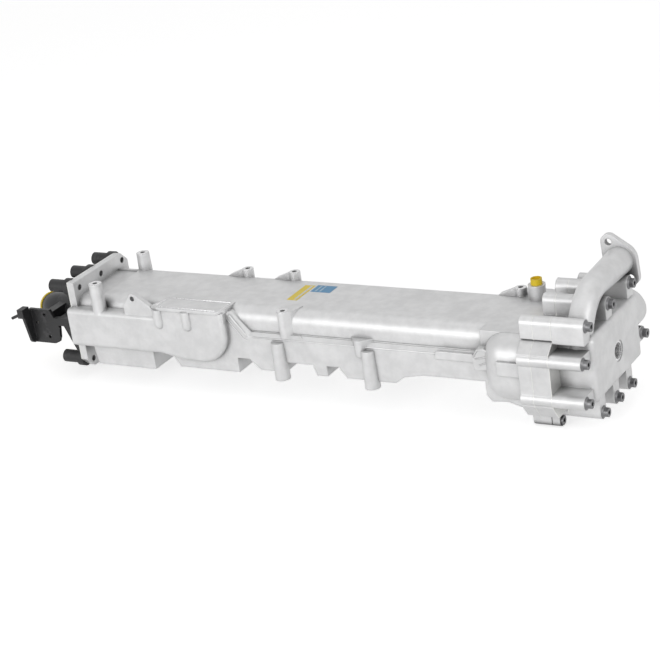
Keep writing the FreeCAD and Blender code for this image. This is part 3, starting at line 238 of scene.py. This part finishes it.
def machined(name):
    """Machined aluminium: brighter and smoother than the casting."""
    finish = Finish(name, metallic=0.7)
    place = finish.place
    finish.drive("Base Color", place.noise(180.0).mix((0.66, 0.66, 0.665), (0.78, 0.78, 0.785)))
    finish.drive("Roughness", 0.22 + 0.10 * place.noise(400.0))
    finish.bump(place.noise(1200.0), 0.00004, 0.3)
    return finish.material


PALE = (0.73, 0.73, 0.733)
FINISHES = {
    "housing": cast_aluminium("cast_housing", PALE),
    "cover": cast_aluminium("cast_cover", PALE),
    "spacer": cast_aluminium("cast_spacer", (0.70, 0.70, 0.703), 0.7, 0.0012),
    "outlet": black_paint("outlet_paint"),
    "gaskets": sheet_steel("gasket_sheet"),
    "bolts": dark_steel("screw_steel"),
    "tubes": sheet_steel("core_sheet", (0.6, 0.6, 0.6)),
    "seal": plain_plastic("seal_rubber", (0.03, 0.03, 0.03)),
    "caps": plain_plastic("cap_plastic", (0.85, 0.62, 0.02)),
    "yellow_label": plain_plastic("yellow_film", (0.96, 0.74, 0.07)),
    "blue_label": plain_plastic("blue_film", (0.10, 0.32, 0.56)),
}

for entry in frame["record"]["subparts"]:
    node = NODES[entry["node"]]
    node.data.materials.clear()
    node.data.materials.append(FINISHES[entry["material_slot"]])


MACHINED = machined("machined_face")
WHITE_FILM = plain_plastic("white_film", (0.82, 0.82, 0.80))
PALE_FILM = plain_plastic("pale_film", (0.42, 0.60, 0.74))


# Detail surfaces

def make_piece(name, grids, finish, smooth=True):
    """
    One object from grids of points, each (rows, columns, 3) and closed round its columns.
    A grid's rows either join up or end in a cap; its faces are turned so its volume is positive.
    """
    vertices, faces = [], []
    for points, joined in grids:
        rows, columns = points.shape[:2]
        base = len(vertices)
        row = np.arange(rows if joined else rows - 1)[:, None]
        column = np.arange(columns)[None, :]
        after_row, after_column = (row + 1) % rows, (column + 1) % columns
        corners = [row * columns + column, row * columns + after_column,
                   after_row * columns + after_column, after_row * columns + column]
        quads = np.stack([corner + 0 * (row + column) for corner in corners], axis=-1).reshape(-1, 4)
        flat = points.reshape(-1, 3)
        shell = [tuple(face) for face in quads.tolist()]
        if not joined:
            ring = np.arange(columns)
            ahead = (ring + 1) % columns
            first, last = len(flat), len(flat) + 1
            far = (rows - 1) * columns
            shell += [(first, b, a) for a, b in zip(ring.tolist(), ahead.tolist())]
            shell += [(last, far + a, far + b) for a, b in zip(ring.tolist(), ahead.tolist())]
            flat = np.vstack([flat, points[0].mean(axis=0), points[-1].mean(axis=0)])
        middle = flat.mean(axis=0)
        a, b, c, e = (flat[quads[:, k]] - middle for k in range(4))
        volume = (np.einsum("ij,ij->", a, np.cross(b, c)) + np.einsum("ij,ij->", a, np.cross(c, e)))
        if volume < 0:
            shell = [face[::-1] for face in shell]
        vertices += flat.tolist()
        faces += [tuple(base + index for index in face) for face in shell]
    mesh = bpy.data.meshes.new(name)
    mesh.from_pydata(vertices, [], faces)
    mesh.polygons.foreach_set("use_smooth", [smooth] * len(faces))
    mesh.materials.append(finish)
    piece = bpy.data.objects.new(name, mesh)
    bpy.context.scene.collection.objects.link(piece)
    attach(piece, "root")
    return piece


def bead(corners, radius, out):
    """
    A raised cast bead along a path: the point at path place i and angle t is
    path_i + radius * (cos t * side_i + sin t * out), where side_i is the path's direction crossed
    with out, and the two ends narrow to 0.4 of the radius.
    """
    path = np.array([at(*corner) for corner in corners])
    radius = radius * MM
    first = (path[1] - path[0]) / np.linalg.norm(path[1] - path[0])
    last = (path[-1] - path[-2]) / np.linalg.norm(path[-1] - path[-2])
    path = np.vstack([path[:1], path[:1] + first * radius, path[1:-1], path[-1:] - last * radius, path[-1:]])
    along = np.gradient(path, axis=0)
    out = np.array(out, float)
    side = np.cross(along, out)
    side /= np.linalg.norm(side, axis=1, keepdims=True)
    width = np.full(len(path), radius)
    width[[0, -1]] *= 0.4
    turn = np.linspace(0, 2 * np.pi, 16, endpoint=False)[None, :, None]
    points = path[:, None] + width[:, None, None] * (np.cos(turn) * side[:, None] + np.sin(turn) * out)
    return points, False


AXES = {"X": ((0, 1, 0), (0, 0, 1), (1, 0, 0)), "Z": ((1, 0, 0), (0, 1, 0), (0, 0, 1))}


def turned(centre, axis, profile, inner=None, steps=48):
    """
    A closed profile of (radius, height) carried round an axis: the point at angle t is
    centre + radius * (cos t * u + sin t * v) + height * axis. Where inner is given, radii below
    the profile's widest are replaced by that function of the angle.
    """
    u, v, w = (np.array(part, float) for part in AXES[axis])
    angle = np.linspace(0, 2 * np.pi, steps, endpoint=False)
    radius = np.repeat(np.array([r for r, height in profile])[None, :], steps, axis=0) * MM
    if inner is not None:
        narrow = radius[0] < radius[0].max() - 1e-7
        radius[:, narrow] = inner(angle)[:, None] * MM
    height = np.array([h for r, h in profile])[None, :, None] * MM
    turn = angle[:, None, None]
    points = centre + radius[:, :, None] * (np.cos(turn) * u + np.sin(turn) * v) + height * w
    return points, True


def ring_face(x, y, z, axis, inner, outer, rise=0.25):
    """A spot face round a hole: a thin flat ring."""
    return turned(at(x, y, z), axis, [(inner, -0.4), (outer, -0.4), (outer, rise), (inner, rise)])


def hexagon(angle, half_width=2.5):
    """Radius of a hexagon of that half width over flats, at each angle."""
    sector = np.pi / 3
    return half_width / np.cos((angle + sector / 2) % sector - sector / 2)


def make_beads():
    """The thin raised lines of the casting: along the ledge, up the apron and on the knuckle."""
    front, up = (0, -1, 0), (0, 0, 1)
    casting = FINISHES["housing"]
    make_piece("ledge_rim", [bead([(296, -66.6, 7.4), (571, -66.6, 7.4)], 1.3, front)], casting)
    make_piece("ledge_root", [bead([(294, -59.6, 13.0), (625, -59.6, 13.0)], 1.1, up)], casting)
    make_piece("apron_beads", [
        bead([(264, -66.8, 38), (288, -66.8, 8)], 1.5, front),
        bead([(258, -66.8, 34), (281, -66.8, 5), (290, -66.8, 1)], 1.2, front),
        bead([(366, -60, 13.2), (371, -64, 11), (375, -67, 5)], 1.3, (0, -0.7, 0.7)),
    ], casting)
    make_piece("knuckle_ribs", [
        bead([(629, -80, 13), (636, -80, 23.6), (644.5, -80, 24.8), (666, -80, 15.4)], 1.3, front),
        bead([(631, -80, 11), (641, -80, 13.2), (654, -80, 17)], 1.0, front),
        bead([(637, -80, 3), (657, -80, 12), (665, -80, 4)], 1.0, front),
    ], casting)
    make_piece("pad_rim", [
        bead([(158, -76.5, 45.6), (250, -76.5, 45.6)], 0.8, up),
        bead([(156, -45.5, 45.6), (256, -45.5, 45.6)], 0.8, up),
        bead([(152, -72, 45.6), (156, -48, 45.6)], 0.8, up),
        bead([(257, -72, 45.6), (257, -48, 45.6)], 0.8, up),
    ], MACHINED)


# Tops of the posts and low ends of the columns, from the outlet joint, with the width of each face
POST_TOPS = [
    ((51, -68, 69), 8.8), ((51, 50, 69), 8.8), ((345, -59, 46), 7.6),
    ((226, 50, 55.5), 7.6), ((301.5, 50, 55.5), 7.6), ((640.5, 50, 55.5), 7.6),
]
COLUMN_FEET = [(335, -67, -48.5), (471.5, -67, -48.5)]
TAP = 3.5
COLUMN_FACE = 10.2


def make_spot_faces():
    """Bright machined rings on the tops of the posts and the low ends of the columns."""
    tops = [ring_face(*place, "Z", TAP, outer) for place, outer in POST_TOPS]
    make_piece("post_faces", tops, MACHINED, smooth=False)
    profile = [(TAP, -0.25), (COLUMN_FACE, -0.25), (COLUMN_FACE, 0.4), (TAP, 0.4)]
    feet = [turned(at(*place), "Z", profile) for place in COLUMN_FEET]
    make_piece("column_faces", feet, MACHINED, smooth=False)


def make_port_thread():
    """The port's thread: eight V ridges one pitch apart, inside the bore."""
    mouth = np.zeros(3)
    root, crest, half = 10.3, 9.3, 0.7
    ridges = []
    for turn in range(8):
        deep = -1.8 - 1.6 * turn
        ridges.append(turned(mouth, "X", [(root, deep - half), (crest, deep), (root, deep + half)]))
    make_piece("port_thread", ridges, MACHINED)
    make_piece("port_seat_ring", [turned(mouth, "X", [(10.4, -0.3), (13.3, -0.3), (13.3, 0.2), (10.4, 0.2)])],
               MACHINED, smooth=False)


def make_sockets():
    """Hexagon sockets in the screw heads, just below each head's face."""
    names = [entry["node"] for entry in frame["record"]["subparts"] if entry["material_slot"] == "bolts"]
    for name in names:
        low, high = (np.array(corner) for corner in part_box(name))
        looks_ahead = not name.startswith("outlet_screw")
        face = high[0] - 0.0001 if looks_ahead else low[0] + 0.0001
        centre = np.array([face, (low[1] + high[1]) / 2, (low[2] + high[2]) / 2])
        inward = -4.2 if looks_ahead else 4.2
        profile = [(2.0, 0), (3.18, 0), (3.18, inward), (2.0, inward)]
        socket = turned(centre, "X", profile, hexagon)
        make_piece(f"{name}_socket", [socket], FINISHES["bolts"], smooth=False)


def power(value):
    """The signed power that squares off a rounded sheet."""
    return np.sign(value) * np.abs(value) ** 0.15


def rounded_sheet(x, y, z, half_x, half_y, half_z):
    """
    A thin sheet with round corners: at angles s and t the point is the centre plus
    half_x * p(cos s) * p(cos t), half_y * p(cos s) * p(sin t), half_z * p(sin s), with p the
    signed power.
    """
    s = np.linspace(-np.pi / 2, np.pi / 2, 12)[1:-1][:, None]
    t = np.linspace(0, 2 * np.pi, 64, endpoint=False)[None, :]
    off = np.stack([half_x * power(np.cos(s)) * power(np.cos(t)),
                    half_y * power(np.cos(s)) * power(np.sin(t)),
                    half_z * power(np.sin(s)) + 0 * t], axis=-1)
    return at(x, y, z) + MM * off, False


def make_label_fields():
    """Plain stripes on the two stickers."""
    top, film = 45.35, 0.12
    stripe = rounded_sheet(340.5, 5, top, 1.6, 23.5, film)
    make_piece("yellow_label_stripe", [stripe], WHITE_FILM)
    stripes = [rounded_sheet(x, 22, top, 1.3, 9.5, film) for x in (354.5, 361)]
    make_piece("blue_label_stripes", stripes, PALE_FILM)


make_beads()
make_spot_faces()
make_port_thread()
make_sockets()
make_label_fields()


# Room: pale floor, white background, soft lamps

def seen_share(tree):
    """1 for rays from the camera, or from a mirror or glass, that show the background; else 0."""
    path = tree.nodes.new("ShaderNodeLightPath")
    names = ("Is Camera Ray", "Is Glossy Ray", "Is Transmission Ray")
    camera, glossy, through = (Wire(tree, path.outputs[name]) for name in names)
    return camera.larger(glossy).larger(through)


def make_room():
    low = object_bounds()[0]
    floor_mesh = bpy.data.meshes.new("floor")
    reach = 12.0
    height = low[2] - 0.0005
    floor_mesh.from_pydata(
        [(-reach, -reach, height), (reach, -reach, height), (reach, reach, height), (-reach, reach, height)],
        [], [(0, 1, 2, 3)])
    floor = bpy.data.objects.new("floor", floor_mesh)
    bpy.context.scene.collection.objects.link(floor)
    finish = Finish("floor_paper", roughness=0.9)
    seen = seen_share(finish.tree)
    finish.drive("Base Color", seen.mix((0.38, 0.38, 0.38), (0.80, 0.80, 0.80)))
    finish.drive("Emission Color", seen.mix((0.0, 0.0, 0.0), (0.62, 0.62, 0.62)))
    finish.shader.inputs["Emission Strength"].default_value = 1.0
    floor_mesh.materials.append(finish.material)

    world = bpy.data.worlds.new("studio")
    bpy.context.scene.world = world
    world.use_nodes = True
    tree = world.node_tree
    background = tree.nodes["Background"]
    background.inputs["Color"].default_value = (1.0, 1.0, 1.0, 1.0)
    tree.links.new((0.38 + 0.62 * seen_share(tree)).socket, background.inputs["Strength"])


def add_lamp(name, place, target, size, power):
    lamp = bpy.data.lights.new(name, "AREA")
    lamp.shape = "RECTANGLE"
    lamp.size, lamp.size_y = size
    lamp.energy = power
    holder = bpy.data.objects.new(name, lamp)
    bpy.context.scene.collection.objects.link(holder)
    holder.location = place
    holder.rotation_euler = (Vector(target) - Vector(place)).to_track_quat("-Z", "Y").to_euler()


make_room()
add_lamp("front_box", (-0.7, -2.2, 0.6), (-0.4, 0.0, 0.0), (2.4, 1.2), 24.0)
add_lamp("right_box", (1.9, -0.6, 0.7), (-0.1, 0.0, 0.0), (1.2, 1.2), 11.0)
add_lamp("top_box", (-0.4, 0.3, 2.4), (-0.4, 0.0, 0.0), (2.2, 1.2), 4.0)


# Camera: the photograph's place and lens

PHOTO_WIDTH = 660
FOCAL_PIXELS = 2025.842
SENSOR = 36.0


def make_camera():
    azimuth, elevation, roll = 0.5690142, 0.3837386, 0.1505101
    eye = Vector((0.9386, -2.1110, 1.0066))
    forward = Vector((-math.sin(azimuth) * math.cos(elevation),
                      math.cos(azimuth) * math.cos(elevation), -math.sin(elevation)))
    right = forward.cross(Vector((0, 0, 1))).normalized()
    down = forward.cross(right)
    turned_right = math.cos(roll) * right + math.sin(roll) * down
    turned_down = -math.sin(roll) * right + math.cos(roll) * down
    camera = bpy.data.cameras.new("photo_camera")
    camera.sensor_width = SENSOR
    camera.lens = FOCAL_PIXELS / PHOTO_WIDTH * SENSOR
    holder = bpy.data.objects.new("photo_camera", camera)
    bpy.context.scene.collection.objects.link(holder)
    matrix = Matrix((turned_right, -turned_down, -forward)).transposed().to_4x4()
    matrix.translation = eye
    holder.matrix_world = matrix
    bpy.context.scene.camera = holder


make_camera()
bpy.context.scene.view_settings.view_transform = "Standard"
